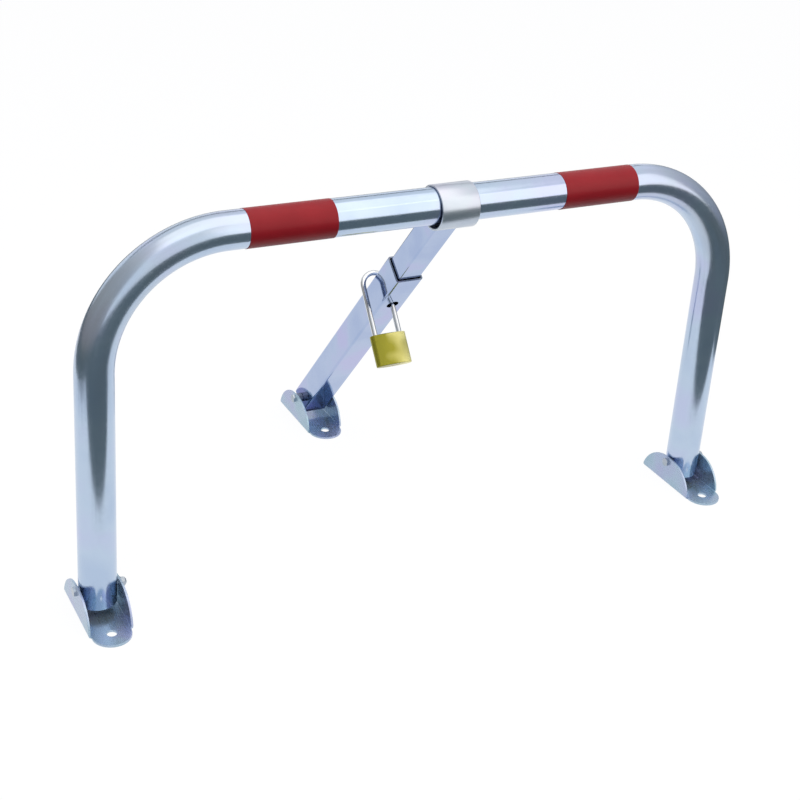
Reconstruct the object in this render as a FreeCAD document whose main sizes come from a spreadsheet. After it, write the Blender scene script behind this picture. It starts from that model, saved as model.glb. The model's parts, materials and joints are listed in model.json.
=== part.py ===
"""Folding parking barrier: a bent tube hoop on two feet, propped from behind by a telescopic strut.

Frame, in millimetres: +Z up, the ground at Z = 0, and the origin midway between the two front anchor
holes. X runs along the hoop, +Y to the rear foot, so the front of the barrier faces -Y.
"""
import FreeCAD, Part
import math
import os

import Sketcher
from FreeCAD import Placement, Rotation, Vector

# Driving dimensions: alias, value in millimetres or degrees, what it sets.
SIZES = (
    ("tube_diameter", 42, "hoop tube, outside"),
    ("tube_wall", 2, "hoop tube wall"),
    ("leg_spacing", 788, "hoop, between the leg axes"),
    ("hoop_height", 430, "ground to the axis of the top run"),
    ("bend_radius", 141, "hoop corners, on the tube axis"),
    ("leg_tail", 17, "leg end below the pivot pin"),
    ("band_length", 98.5, "reflective band along the tube"),
    ("band_thickness", 0.3, "reflective foil"),
    ("left_band_place", -185, "middle of the left band, along X"),
    ("right_band_place", 197.5, "middle of the right band, along X"),
    ("glue_line", 0.05, "foil above the tube"),
    ("sheet", 2.5, "folded steel of the feet"),
    ("fold_radius", 3.5, "outside of the fold"),
    ("ear_gap", 1.2, "leg to ear, each side"),
    ("ear_height", 37, "top of the ears"),
    ("ear_back", 46, "ears behind the pin"),
    ("ear_front", 48, "ears ahead of the pin"),
    ("ear_heel", 5, "upright back edge of the ears"),
    ("ear_toe", 4, "upright front edge of the ears"),
    ("crown_back", 1, "level top of the ears, behind the pin"),
    ("crown_front", 10, "level top of the ears, ahead of the pin"),
    ("anchor_reach", 50, "pin to anchor hole"),
    ("anchor_hole", 11, "anchor hole"),
    ("tongue_width", 43.5, "tongue with the anchor hole"),
    ("pin_height", 30, "ground to the pivot pins"),
    ("rear_reach", 328, "front pins to the rear pin"),
    ("bolt_diameter", 6, "pivot bolts"),
    ("bolt_head_flats", 10, "bolt heads and nuts, across flats"),
    ("bolt_head_height", 3, "bolt heads"),
    ("nut_height", 5, "lock nuts"),
    ("bolt_tip", 1, "bolt beyond its nut"),
    ("washer_diameter", 12, "washers under the nuts"),
    ("washer_thickness", 1.2, "washers under the nuts"),
    ("ear_hole_play", 0.3, "bolt in the ears, washers and spacers, each side"),
    ("pivot_play", 0.5, "bolt in the tubes that turn on it, each side"),
    ("spacer_diameter", 12, "spacers beside the strut"),
    ("spacer_play", 0.3, "spacer to strut"),
    ("strut_side", 10, "strut right of the middle"),
    ("strut_shift", 3.5, "strut right of the middle of its foot"),
    ("collar_room", 4.5, "collar bore over the tube diameter"),
    ("collar_wall", 2.3, "collar wall"),
    ("collar_length", 47, "collar along the tube"),
    ("collar_play", 0.3, "collar above the tube it hangs on"),
    ("sleeve_side", 35, "lower strut, square section"),
    ("sleeve_wall", 2, "lower strut wall"),
    ("sleeve_corner", 3, "lower strut, outside corners"),
    ("sleeve_inner_corner", 1, "lower strut, inside corners"),
    ("sleeve_length", 370, "rear pin to the rim of the lower strut"),
    ("sleeve_tail", 13, "lower strut below its pin"),
    ("slider_side", 29, "upper strut, square section"),
    ("slider_wall", 1.5, "upper strut wall"),
    ("slider_corner", 2.2, "upper strut, outside corners"),
    ("slider_inner_corner", 0.7, "upper strut, inside corners"),
    ("lock_hole", 15, "padlock hole and fork slot"),
    ("lock_hole_depth", 61, "rim to the padlock hole"),
    ("slider_fork", 20, "upper strut beyond the padlock hole"),
    ("shackle_diameter", 6.5, "padlock shackle"),
    ("shackle_spacing", 32, "between the shackle legs"),
    ("shackle_shift", 1.5, "inner shackle leg right of the strut's middle"),
    ("bow_sink", 7.5, "start of the shackle's bow inside the back of the strut"),
    ("shackle_depth", 17, "shackle legs inside the padlock"),
    ("shackle_play", 0.3, "shackle in its bores, each side"),
    ("lock_tilt", 12, "padlock turned towards plumb"),
    ("lock_gap", 33.5, "lower strut to the padlock"),
    ("lock_width", 46, "padlock body"),
    ("lock_length", 38.5, "padlock body"),
    ("lock_thickness", 18, "padlock body, across its crowned faces"),
    ("lock_side", 6, "padlock body, radius of its narrow sides"),
    ("lock_edge", 1.2, "padlock body, rounded end edges"),
    ("plug_diameter", 13, "key plug"),
    ("plug_depth", 20, "key plug"),
    ("plug_play", 0.3, "key plug in its bore"),
    ("keyway_width", 1.8, "keyway"),
    ("keyway_length", 8, "keyway"),
    ("keyway_depth", 16, "keyway"),
)
X_AXIS = Vector(1, 0, 0)
Z_AXIS = Vector(0, 0, 1)
ALONG_X = Rotation(Vector(0, 1, 0), 90)
OVERRUN = 1.0
TOLERANCE = 1e-6

doc = FreeCAD.newDocument("parking_barrier")
sheet = doc.addObject("Spreadsheet::Sheet", "Sizes")
for row, (alias, value, note) in enumerate(SIZES, start=1):
    sheet.set(f"A{row}", note)
    sheet.set(f"B{row}", str(value))
    sheet.setAlias(f"B{row}", alias)
doc.recompute()
parts = []


def size(alias):
    """Value of one driving dimension."""
    return float(sheet.get(alias))


def put_in_words(expression, name_of):
    """An expression with each <alias> replaced by what a function makes of it."""
    for alias, _, _ in SIZES:
        expression = expression.replace(f"<{alias}>", name_of(alias))
    return expression


def number(expression):
    """Value of an expression in the sheet's aliases."""
    return FreeCAD.Units.parseQuantity(put_in_words(expression, lambda alias: f"({size(alias)})")).Value


def bind(item, **expressions):
    """Bind properties of an object to the sheet: property = expression in the sheet's aliases."""
    for name, expression in expressions.items():
        item.setExpression(name, put_in_words(expression, lambda alias: f"Sizes.{alias}"))
    return item


def part(item, label):
    """Keep an object as a sub-part under its own label."""
    item.Label = label
    parts.append(item)


# Sizes and places that several pieces share
HALF_GAP = "(<tube_diameter> / 2 + <ear_gap>)"
HALF_FOOT = f"({HALF_GAP} + <sheet>)"
COLLAR_RADIUS = "((<tube_diameter> + <collar_room>) / 2)"
COLLAR_HEIGHT = f"(<hoop_height> + <tube_diameter> / 2 + <collar_play> - {COLLAR_RADIUS})"
STRUT_LENGTH = f"sqrt(<rear_reach>^2 + ({COLLAR_HEIGHT} - <pin_height>)^2)"
LOCK_STATION = "(<sleeve_length> - <lock_hole_depth>)"
pin_y = size("anchor_reach")
pin_z = size("pin_height")
rear_y = pin_y + size("rear_reach")
half_spacing = size("leg_spacing") / 2
strut_base = Vector(size("strut_side"), rear_y, pin_z)
strut_top = Vector(size("strut_side"), pin_y, number(COLLAR_HEIGHT))
strut_turn = Rotation(Z_AXIS, strut_top - strut_base)
strut_place = Placement(strut_base, strut_turn)
FEET = (
    ("left", Vector(-half_spacing, pin_y, 0)),
    ("right", Vector(half_spacing, pin_y, 0)),
    ("rear", Vector(size("strut_side") - size("strut_shift"), rear_y, 0)),
)


def new_body(name, place=Placement()):
    body = doc.addObject("PartDesign::Body", name)
    body.Placement = place
    return body


def sketch_on(body, role, name, height="0"):
    """A sketch on one of the body's own origin planes, raised along the plane's normal."""
    sketch = body.newObject("Sketcher::SketchObject", name)
    plane = next(item for item in body.Origin.OriginFeatures if item.Role == role)
    sketch.AttachmentSupport = [(plane, "")]
    sketch.MapMode = "FlatFace"
    sketch.recompute()
    return bind(sketch, **{"AttachmentOffset.Base.z": height})


def dimension(sketch, kind, expression, *where):
    """A driving dimension of a sketch, bound to the sheet."""
    index = sketch.addConstraint(Sketcher.Constraint(kind, *where, number(expression)))
    bind(sketch, **{f"Constraints[{index}]": expression})


def hold_point(sketch, x, y, *point):
    """Fix a point of a sketch by its two distances from the sketch's origin."""
    dimension(sketch, "DistanceX", x, -1, 1, *point)
    dimension(sketch, "DistanceY", y, -1, 1, *point)


def circle(sketch, x, y, diameter):
    """A circle with x, y and diameter as expressions in the sheet's aliases."""
    shape = Part.Circle(Vector(number(x), number(y), 0), Z_AXIS, number(diameter) / 2)
    index = sketch.addGeometry(shape)
    hold_point(sketch, x, y, index, 3)
    dimension(sketch, "Diameter", diameter, index)


def arc_about(start, end, axis, middle):
    """The anticlockwise arc between two points, when one coordinate of its centre is known."""
    if axis == "X":
        rise = (middle - end.x) ** 2 - (middle - start.x) ** 2 + end.y ** 2 - start.y ** 2
        centre = Vector(middle, rise / (2 * (end.y - start.y)), 0)
    else:
        run = (middle - end.y) ** 2 - (middle - start.y) ** 2 + end.x ** 2 - start.x ** 2
        centre = Vector(run / (2 * (end.x - start.x)), middle, 0)
    first, last = (math.atan2(point.y - centre.y, point.x - centre.x) for point in (start, end))
    if last <= first:
        last += 2 * math.pi
    return Part.ArcOfCircle(Part.Circle(centre, Z_AXIS, (start - centre).Length), first, last)


def outline(sketch, points, arcs=(), closed=True):
    """Straight and round stretches through (x, y) points, anticlockwise, each point bound to the sheet.

    arcs maps the number of a stretch to one coordinate of its centre: "X" or "Y", and an expression.
    """
    centres = dict(arcs)
    places = [Vector(number(x), number(y), 0) for x, y in points]
    first = sketch.GeometryCount
    stretches = len(points) if closed else len(points) - 1
    for stretch in range(stretches):
        start, end = places[stretch], places[(stretch + 1) % len(points)]
        if stretch in centres:
            axis, middle = centres[stretch]
            sketch.addGeometry(arc_about(start, end, axis, number(middle)))
        else:
            sketch.addGeometry(Part.LineSegment(start, end))
    for stretch in range(stretches):
        hold_point(sketch, *points[stretch], first + stretch, 1)
        if closed or stretch:
            before = first + (stretch - 1) % stretches
            sketch.addConstraint(Sketcher.Constraint("Coincident", before, 2, first + stretch, 1))
    if not closed:
        hold_point(sketch, *points[-1], first + stretches - 1, 2)
    for stretch, (axis, middle) in centres.items():
        dimension(sketch, f"Distance{axis}", middle, -1, 1, first + stretch, 3)


def rectangle(sketch, left, right, bottom, top):
    """A rectangle between four lines."""
    outline(sketch, [(left, bottom), (right, bottom), (right, top), (left, top)])


def rounded_square(sketch, side, corner):
    """A square about the sketch's origin with round corners."""
    half = f"({side}) / 2"
    flat = f"({half} - {corner})"
    points = [(half, f"-{flat}"), (half, flat), (flat, half), (f"-{flat}", half),
              (f"-{half}", flat), (f"-{half}", f"-{flat}"), (f"-{flat}", f"-{half}"), (flat, f"-{half}")]
    outline(sketch, points, {1: ("X", flat), 3: ("X", f"-{flat}"), 5: ("X", f"-{flat}"), 7: ("X", flat)})


def pad(body, sketch, length, name, middle=False, downward=False):
    feature = body.newObject("PartDesign::Pad", name)
    feature.Profile = sketch
    feature.Midplane = middle
    feature.Reversed = downward
    bind(feature, Length=length)
    doc.recompute()
    return feature


def pocket(body, sketch, name, depth=None, upward=False):
    """Cut a sketch through the whole body, or to a depth from the sketch."""
    feature = body.newObject("PartDesign::Pocket", name)
    feature.Profile = sketch
    if depth is None:
        feature.Midplane = True
        feature.Type = "ThroughAll"
    else:
        feature.Reversed = upward
        bind(feature, Length=depth)
    doc.recompute()
    return feature


def bore(body, role, name, x, y, diameter, height="0", depth=None, upward=False):
    """A round hole square to one of the body's origin planes."""
    sketch = sketch_on(body, role, f"{name}_sketch", height)
    circle(sketch, x, y, diameter)
    pocket(body, sketch, name, depth, upward)


def round_edges(body, base, name, radius, chosen):
    """Fillet the edges of a feature whose boxes pass a test."""
    feature = body.newObject("PartDesign::Fillet", name)
    edges = enumerate(base.Shape.Edges, start=1)
    feature.Base = (base, [f"Edge{index}" for index, edge in edges if chosen(edge.BoundBox)])
    bind(feature, Radius=radius)
    doc.recompute()
    return feature


def cylinder(name, radius, height, place):
    """A round solid with its radius and height bound to the sheet."""
    solid = bind(doc.addObject("Part::Cylinder", name), Radius=radius, Height=height)
    solid.Placement = place
    return solid


def hexagon(name, flats, height, place):
    """A hexagonal prism, given across its flats."""
    solid = doc.addObject("Part::Prism", name)
    solid.Polygon = 6
    solid.Placement = place
    return bind(solid, Circumradius=f"{flats} / 2 / cos(30 deg)", Height=height)


def cut(name, base, tool):
    result = doc.addObject("Part::Cut", name)
    result.Base = base
    result.Tool = tool
    return result


def ring(name, outside, inside, length, place):
    """A tube or washer, given by its two radii."""
    skin = cylinder(f"{name}_skin", outside, length, place)
    return cut(f"{name}_ring", skin, cylinder(f"{name}_eye", inside, length, place))


def fuse(name, *solids):
    result = doc.addObject("Part::MultiFuse", name)
    result.Shapes = list(solids)
    result.Refine = True
    return result


def hoop():
    """One round tube, bent twice, with a cross hole for the pin in each leg."""
    body = new_body("hoop")
    bind(body, **{"Placement.Base.y": "<anchor_reach>"})
    side, shoulder = "<leg_spacing> / 2", "(<leg_spacing> / 2 - <bend_radius>)"
    foot_end, bend_end, top = "<pin_height> - <leg_tail>", "<hoop_height> - <bend_radius>", "<hoop_height>"
    path = sketch_on(body, "XZ_Plane", "hoop_path")
    points = [(side, foot_end), (side, bend_end), (shoulder, top),
              (f"-{shoulder}", top), (f"-{side}", bend_end), (f"-{side}", foot_end)]
    outline(path, points, {1: ("X", shoulder), 3: ("X", f"-{shoulder}")}, closed=False)
    section = sketch_on(body, "XY_Plane", "hoop_section", foot_end)
    circle(section, side, "0", "<tube_diameter>")
    circle(section, side, "0", "<tube_diameter> - 2 * <tube_wall>")
    doc.recompute()
    pipe = body.newObject("PartDesign::AdditivePipe", "hoop_pipe")
    pipe.Profile = section
    pipe.Spine = (path, [f"Edge{index}" for index in range(1, len(points))])
    doc.recompute()
    bore(body, "YZ_Plane", "pin_holes", "0", "<pin_height>", "<bolt_diameter> + 2 * <pivot_play>")
    part(body, "hoop_tube")


def band(side):
    """A reflective foil wrapped once round the top run."""
    middle = Vector(size(f"{side}_band_place"), pin_y, size("hoop_height"))
    start = Placement(middle - X_AXIS * size("band_length") / 2, ALONG_X)
    inside = "<tube_diameter> / 2 + <glue_line>"
    foil = ring(f"{side}_band", f"{inside} + <band_thickness>", inside, "<band_length>", start)
    part(foil, f"{side}_reflective_band")


def foot(side, at):
    """A folded bracket: two arched ears and a round tongue with the anchor hole."""
    body = new_body(f"{side}_foot", Placement(at, Rotation()))
    ears = sketch_on(body, "YZ_Plane", f"{side}_ear_sketch")
    outline(
        ears,
        [("-<ear_front>", "0"), ("<ear_back>", "0"), ("<ear_back>", "<ear_heel>"),
         ("<crown_back>", "<ear_height>"), ("-<crown_front>", "<ear_height>"),
         ("-<ear_front>", "<ear_toe>")],
        {2: ("X", "<crown_back>"), 4: ("X", "-<crown_front>")},
    )
    pad(body, ears, f"2 * {HALF_FOOT}", f"{side}_ears", middle=True)
    inside = sketch_on(body, "XZ_Plane", f"{side}_fold_sketch")
    rectangle(inside, f"-{HALF_GAP}", HALF_GAP, "<sheet>", f"<ear_height> + {OVERRUN}")
    fold = pocket(body, inside, f"{side}_fold")
    half_gap, half_foot, floor = number(HALF_GAP), number(HALF_FOOT), size("sheet")

    def along_fold(x, z):
        def test(box):
            level = abs(box.ZMin - z) < TOLERANCE and box.ZLength < TOLERANCE
            return level and box.XLength < TOLERANCE and abs(abs(box.XMin) - x) < TOLERANCE
        return test

    outer = round_edges(body, fold, f"{side}_outer_fold", "<fold_radius>", along_fold(half_foot, 0))
    round_edges(body, outer, f"{side}_inner_fold", "<fold_radius> - <sheet>", along_fold(half_gap, floor))
    tongue = sketch_on(body, "XY_Plane", f"{side}_tongue_sketch")
    half, hole, root = "<tongue_width> / 2", "-<anchor_reach>", f"{OVERRUN} - <ear_front>"
    outline(
        tongue,
        [(half, hole), (half, root), (f"-{half}", root), (f"-{half}", hole)],
        {3: ("Y", hole)},
    )
    pad(body, tongue, "<sheet>", f"{side}_tongue")
    bore(body, "XY_Plane", f"{side}_anchor_hole", "0", hole, "<anchor_hole>")
    bore(body, "YZ_Plane", f"{side}_ear_holes", "0", "<pin_height>", "<bolt_diameter> + 2 * <ear_hole_play>")
    part(body, f"{side}_foot_bracket")


def pivot(side, at):
    """The hexagon bolt through both ears, its washer and its lock nut."""
    def along(x):
        return Placement(at + Z_AXIS * pin_z + X_AXIS * x, ALONG_X)

    half_foot = number(HALF_FOOT)
    head_start = along(-half_foot - size("bolt_head_height"))
    head = hexagon(f"{side}_bolt_head", "<bolt_head_flats>", "<bolt_head_height>", head_start)
    length = f"2 * {HALF_FOOT} + <washer_thickness> + <nut_height> + <bolt_tip>"
    shank = cylinder(f"{side}_bolt_shank", "<bolt_diameter> / 2", length, along(-half_foot))
    part(fuse(f"{side}_bolt", head, shank), f"{side}_pivot_bolt")
    hole = "<bolt_diameter> / 2 + <ear_hole_play>"
    washer = ring(f"{side}_washer", "<washer_diameter> / 2", hole, "<washer_thickness>", along(half_foot))
    part(washer, f"{side}_pivot_washer")
    nut_face = along(half_foot + size("washer_thickness"))
    block = hexagon(f"{side}_nut_block", "<bolt_head_flats>", "<nut_height>", nut_face)
    thread = cylinder(f"{side}_nut_thread", "<bolt_diameter> / 2", "<nut_height>", nut_face)
    part(cut(f"{side}_nut_ring", block, thread), f"{side}_lock_nut")


def spacers(at):
    """Two sleeves that hold the strut to one side of the rear foot."""
    eye = "<bolt_diameter> / 2 + <ear_hole_play>"
    half_strut = "<sleeve_side> / 2 + <spacer_play>"
    right_face = size("strut_shift") + number(half_strut)
    for side, start, sign in (("left", -number(HALF_GAP), "+"), ("right", right_face, "-")):
        place = Placement(at + Z_AXIS * pin_z + X_AXIS * start, ALONG_X)
        length = f"{HALF_GAP} {sign} <strut_shift> - ({half_strut})"
        part(ring(f"{side}_spacer", "<spacer_diameter> / 2", eye, length, place), f"rear_{side}_spacer")


def collar():
    """The loose ring that hangs on the hoop and carries the upper strut."""
    start = Placement(strut_top - X_AXIS * size("collar_length") / 2, ALONG_X)
    outside = f"{COLLAR_RADIUS} + <collar_wall>"
    part(ring("collar", outside, COLLAR_RADIUS, "<collar_length>", start), "collar")


def square_tube(name, start, length):
    """A square tube along the strut, from a station above the rear pin."""
    body = new_body(name, strut_place)
    section = sketch_on(body, "XY_Plane", f"{name}_section", start)
    rounded_square(section, f"<{name}_side>", f"<{name}_corner>")
    rounded_square(section, f"<{name}_side> - 2 * <{name}_wall>", f"<{name}_inner_corner>")
    pad(body, section, length, f"{name}_tube")
    return body


def lower_strut():
    """The square sleeve, hinged at the rear foot, with the padlock hole under its rim."""
    body = square_tube("sleeve", "-<sleeve_tail>", "<sleeve_length> + <sleeve_tail>")
    bore(body, "YZ_Plane", "sleeve_pin_holes", "0", "0", "<bolt_diameter> + 2 * <pivot_play>")
    bore(body, "XZ_Plane", "sleeve_lock_holes", "0", LOCK_STATION, "<lock_hole>")
    part(body, "lower_strut_tube")


def upper_strut():
    """The square slider: its fork sits round the shackle, and its top is coped to the collar."""
    start = f"({LOCK_STATION} - <slider_fork>)"
    body = square_tube("slider", start, f"{STRUT_LENGTH} - {start}")
    slot = sketch_on(body, "XZ_Plane", "fork_sketch")
    half, below = "<lock_hole> / 2", f"{start} - {OVERRUN}"
    outline(
        slot,
        [(f"-{half}", below), (half, below), (half, LOCK_STATION), (f"-{half}", LOCK_STATION)],
        {2: ("Y", LOCK_STATION)},
    )
    pocket(body, slot, "fork")
    across = Placement(strut_top - X_AXIS * size("slider_side"), ALONG_X)
    cope = cylinder("cope", f"{COLLAR_RADIUS} + <collar_wall>", "2 * <slider_side>", across)
    part(cut("slider_coped", body, cope), "upper_strut_tube")


def padlock():
    """A long-shackle padlock through the strut: the shackle, the body and the key plug in it."""
    seat = strut_place.multVec(Vector(size("shackle_shift"), 0, number(LOCK_STATION)))
    turn = Rotation(X_AXIS, size("lock_tilt") - 90).multiply(strut_turn)
    place = Placement(seat, turn)
    spacing = size("shackle_spacing")
    body_top = -(size("sleeve_side") / 2 + size("lock_gap"))
    bow = size("sleeve_side") / 2 - size("bow_sink")

    def at(x, z):
        return place.multiply(Placement(Vector(x, 0, z), Rotation()))

    shackle(place, at, body_top, bow)
    lock_block(at(-spacing / 2, body_top))
    key_plug(at(-spacing / 2, body_top - size("lock_length")))


def shackle(place, at, body_top, bow):
    """A round bar: two straight legs and a half ring behind the strut."""
    radius, spacing = "<shackle_diameter> / 2", size("shackle_spacing")
    length = "<sleeve_side> - <bow_sink> + <lock_gap> + <shackle_depth>"
    leg_end = body_top - size("shackle_depth")
    inner = cylinder("shackle_inner_leg", radius, length, at(0, leg_end))
    outer = cylinder("shackle_outer_leg", radius, length, at(-spacing, leg_end))
    half_ring = doc.addObject("Part::Torus", "shackle_bow")
    bind(half_ring, Radius1="<shackle_spacing> / 2", Radius2=radius)
    half_ring.Angle3 = 180
    upright = Placement(Vector(-spacing / 2, 0, bow), Rotation(X_AXIS, 90))
    half_ring.Placement = place.multiply(upright)
    part(fuse("shackle", half_ring, inner, outer), "padlock_shackle")


def lock_block(place):
    """The extruded body: crowned faces that run smoothly into round sides, with its three bores."""
    body = new_body("lock_block", place)
    side_middle = "(<lock_width> / 2 - <lock_side>)"
    squares = f"({side_middle}^2 + (<lock_thickness> / 2)^2 - <lock_side>^2)"
    face = f"({squares} / (<lock_thickness> - 2 * <lock_side>))"
    face_middle = f"({face} - <lock_thickness> / 2)"
    x = f"({face} * {side_middle} / ({face} - <lock_side>))"
    y = f"(<lock_side> * {face_middle} / ({face} - <lock_side>))"
    section = sketch_on(body, "XY_Plane", "lock_section")
    outline(
        section,
        [(f"-{x}", f"-{y}"), (x, f"-{y}"), (x, y), (f"-{x}", y)],
        {0: ("Y", face_middle), 1: ("X", side_middle),
         2: ("Y", f"-{face_middle}"), 3: ("X", f"-{side_middle}")},
    )
    block = pad(body, section, "<lock_length>", "lock_extrusion", downward=True)
    round_edges(body, block, "lock_end_edges", "<lock_edge>", lambda box: box.ZLength < TOLERANCE)
    for name, x in (("inner", "<shackle_spacing> / 2"), ("outer", "-<shackle_spacing> / 2")):
        bore(body, "XY_Plane", f"{name}_shackle_bore", x, "0", "<shackle_diameter> + 2 * <shackle_play>",
             depth="<shackle_depth> + <shackle_play>")
    bore(body, "XY_Plane", "plug_bore", "0", "0", "<plug_diameter> + 2 * <plug_play>",
         height="-<lock_length>", depth="<plug_depth> + <plug_play>", upward=True)
    part(body, "padlock_body")


def key_plug(place):
    """The turning plug with its keyway."""
    body = new_body("plug", place)
    face = sketch_on(body, "XY_Plane", "plug_face")
    circle(face, "0", "0", "<plug_diameter>")
    pad(body, face, "<plug_depth>", "plug_barrel")
    keyway = sketch_on(body, "XY_Plane", "keyway_sketch")
    half_length, half_width = "<keyway_length> / 2", "<keyway_width> / 2"
    rectangle(keyway, f"-{half_length}", half_length, f"-{half_width}", half_width)
    pocket(body, keyway, "keyway", "<keyway_depth>", upward=True)
    part(body, "padlock_key_plug")


hoop()
for side in ("left", "right"):
    band(side)
for side, at in FEET:
    foot(side, at)
    pivot(side, at)
spacers(FEET[-1][1])
collar()
upper_strut()
lower_strut()
padlock()
doc.recompute()

for item in doc.Objects:
    if any(word in item.State for word in ("Invalid", "Error")):
        raise RuntimeError(f"{item.Name} failed: {item.State}")
for item in parts:
    shape = item.Shape
    if shape.isNull() or not shape.isValid() or len(shape.Solids) != 1:
        raise RuntimeError(f"{item.Label} is not one valid solid")

os.makedirs("parts", exist_ok=True)
for item in parts:
    item.Shape.exportStep(f"parts/{item.Label}.step")
    box = item.Shape.BoundBox
    print(f"{item.Label}: {item.Shape.Volume / 1000:.2f} cm3, Z {box.ZMin:.2f} to {box.ZMax:.2f}")
print(f"strut {number(STRUT_LENGTH):.2f} mm, {math.degrees(strut_turn.Angle):.3f} degrees from upright")
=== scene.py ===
# %% [markdown]
# # A folding parking barrier
# A bent steel hoop stands on two folded feet. A telescopic strut props it from behind, and a padlock through
# the strut keeps it up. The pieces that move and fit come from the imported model, which is loaded first and is
# never moved. What follows gives each piece its finish, and rounds the edges that catch the light.

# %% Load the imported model
import json
import math

import bmesh
import bpy
from mathutils import Matrix, Vector


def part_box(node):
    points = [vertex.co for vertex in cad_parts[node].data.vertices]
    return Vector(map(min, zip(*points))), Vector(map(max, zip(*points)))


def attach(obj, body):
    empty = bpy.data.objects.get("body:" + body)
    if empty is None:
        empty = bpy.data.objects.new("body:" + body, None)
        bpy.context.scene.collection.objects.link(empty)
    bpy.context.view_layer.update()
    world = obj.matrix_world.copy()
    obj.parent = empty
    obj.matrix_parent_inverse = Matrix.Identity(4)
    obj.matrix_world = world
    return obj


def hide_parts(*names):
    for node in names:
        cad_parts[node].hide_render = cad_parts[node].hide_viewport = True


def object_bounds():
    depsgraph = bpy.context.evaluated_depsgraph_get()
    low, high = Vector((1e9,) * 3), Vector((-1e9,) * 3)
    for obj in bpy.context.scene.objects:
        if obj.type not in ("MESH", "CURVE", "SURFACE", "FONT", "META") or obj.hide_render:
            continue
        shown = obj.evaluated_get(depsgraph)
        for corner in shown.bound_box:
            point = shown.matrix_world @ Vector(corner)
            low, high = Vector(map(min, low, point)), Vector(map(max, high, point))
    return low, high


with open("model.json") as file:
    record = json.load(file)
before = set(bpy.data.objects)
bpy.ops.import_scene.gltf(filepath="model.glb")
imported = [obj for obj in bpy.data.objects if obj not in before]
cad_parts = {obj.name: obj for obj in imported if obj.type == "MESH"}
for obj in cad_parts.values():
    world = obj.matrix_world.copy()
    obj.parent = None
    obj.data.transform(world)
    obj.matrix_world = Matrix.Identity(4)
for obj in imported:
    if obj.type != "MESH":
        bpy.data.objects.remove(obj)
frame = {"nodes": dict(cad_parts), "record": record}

MM = 0.001
cad_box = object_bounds()
nodes = frame["nodes"]
print("nodes:", len(nodes), "box:", [round(value, 4) for corner in cad_box for value in corner])

# %% [markdown]
# ## The camera
# The viewing angle was found by matching the anchor holes, the pins and the tube's outline with the picture.
# The lens follows from the focal length in pixels. The barrier hangs low in the frame, so the picture is the
# lower part of a taller one, which a small shift of the lens gives.

# %% Camera
PICTURE_PIXELS = 800
FOCAL_PIXELS = 1530.9
OPTICAL_AXIS_ROW = 300
SENSOR_WIDTH = 36.0

camera_data = bpy.data.cameras.new("camera")
camera_data.sensor_width = SENSOR_WIDTH
camera_data.lens = FOCAL_PIXELS * SENSOR_WIDTH / PICTURE_PIXELS
camera_data.shift_y = (OPTICAL_AXIS_ROW - PICTURE_PIXELS / 2) / PICTURE_PIXELS
camera = bpy.data.objects.new("camera", camera_data)
bpy.context.scene.collection.objects.link(camera)
bpy.context.scene.camera = camera

camera_place = Vector((-793.9, -1312.7, 1014.3)) * MM
heading, down_tilt, lean = (math.radians(angle) for angle in (28.79, 24.00, 4.16))
turn = (Matrix.Rotation(-heading, 4, "Z") @ Matrix.Rotation(math.pi / 2 - down_tilt, 4, "X")
        @ Matrix.Rotation(lean, 4, "Z"))
camera.matrix_world = Matrix.Translation(camera_place) @ turn
print("lens", round(camera_data.lens, 2), "mm, shift", round(camera_data.shift_y, 3))

# %% [markdown]
# ## One helper for nodes
# Every material below is a small tree of nodes. One function adds a node, sets its options and fills its
# sockets, either with a value or with a link from an earlier node. Colours are written as the hex values that
# a screen shows, and one function turns them into the linear light that the shader works in.


# %% Node helper and colours
def linear(hex_colour):
    """An sRGB hex colour as linear RGBA."""
    channels = [int(hex_colour[start:start + 2], 16) / 255 for start in (1, 3, 5)]
    return tuple(c / 12.92 if c <= 0.04045 else ((c + 0.055) / 1.055) ** 2.4 for c in channels) + (1.0,)


def add_node(tree, kind, sockets=(), **options):
    """Add a node, set its options, and fill its sockets with values or links."""
    node = tree.nodes.new(kind)
    for name, value in options.items():
        setattr(node, name, value)
    for name, source in dict(sockets).items():
        if isinstance(source, bpy.types.NodeSocket):
            tree.links.new(source, node.inputs[name])
        else:
            node.inputs[name].default_value = source
    return node


def new_material(name):
    """An empty material and its node tree."""
    material = bpy.data.materials.new(name)
    material.use_nodes = True
    material.node_tree.nodes.clear()
    return material, material.node_tree


def per_metre(millimetres):
    """Pattern scale for a feature of this size, on coordinates in metres."""
    return 1 / (millimetres * MM)


print("screen grey #808080 is", round(linear("#808080")[0], 3), "in linear light")

# %% [markdown]
# ## The paper floor
# A bright metal shows its surroundings more than its own colour, so the studio is most of the look. The real
# one stands on white paper. More light would make a floor white too, but it would wash out the metal. So the
# paper here is matt and greyer than it looks, which keeps the shadow, and a glow lifts it to white for the
# rays that show it: straight ones, and those in a mirror or through glass.

# %% Floor
FLOOR_SIDE = 40.0
FLOOR_GLOW = 0.93


def seen_directly(tree):
    """1 for rays that show a surface: straight, in a mirror or through glass."""
    path = add_node(tree, "ShaderNodeLightPath")
    mirrored = add_node(tree, "ShaderNodeMath", operation="ADD",
                        sockets={0: path.outputs["Is Camera Ray"], 1: path.outputs["Is Glossy Ray"]})
    return add_node(tree, "ShaderNodeMath", {0: mirrored.outputs[0], 1: path.outputs["Is Transmission Ray"]},
                    operation="ADD", use_clamp=True).outputs[0]


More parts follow.
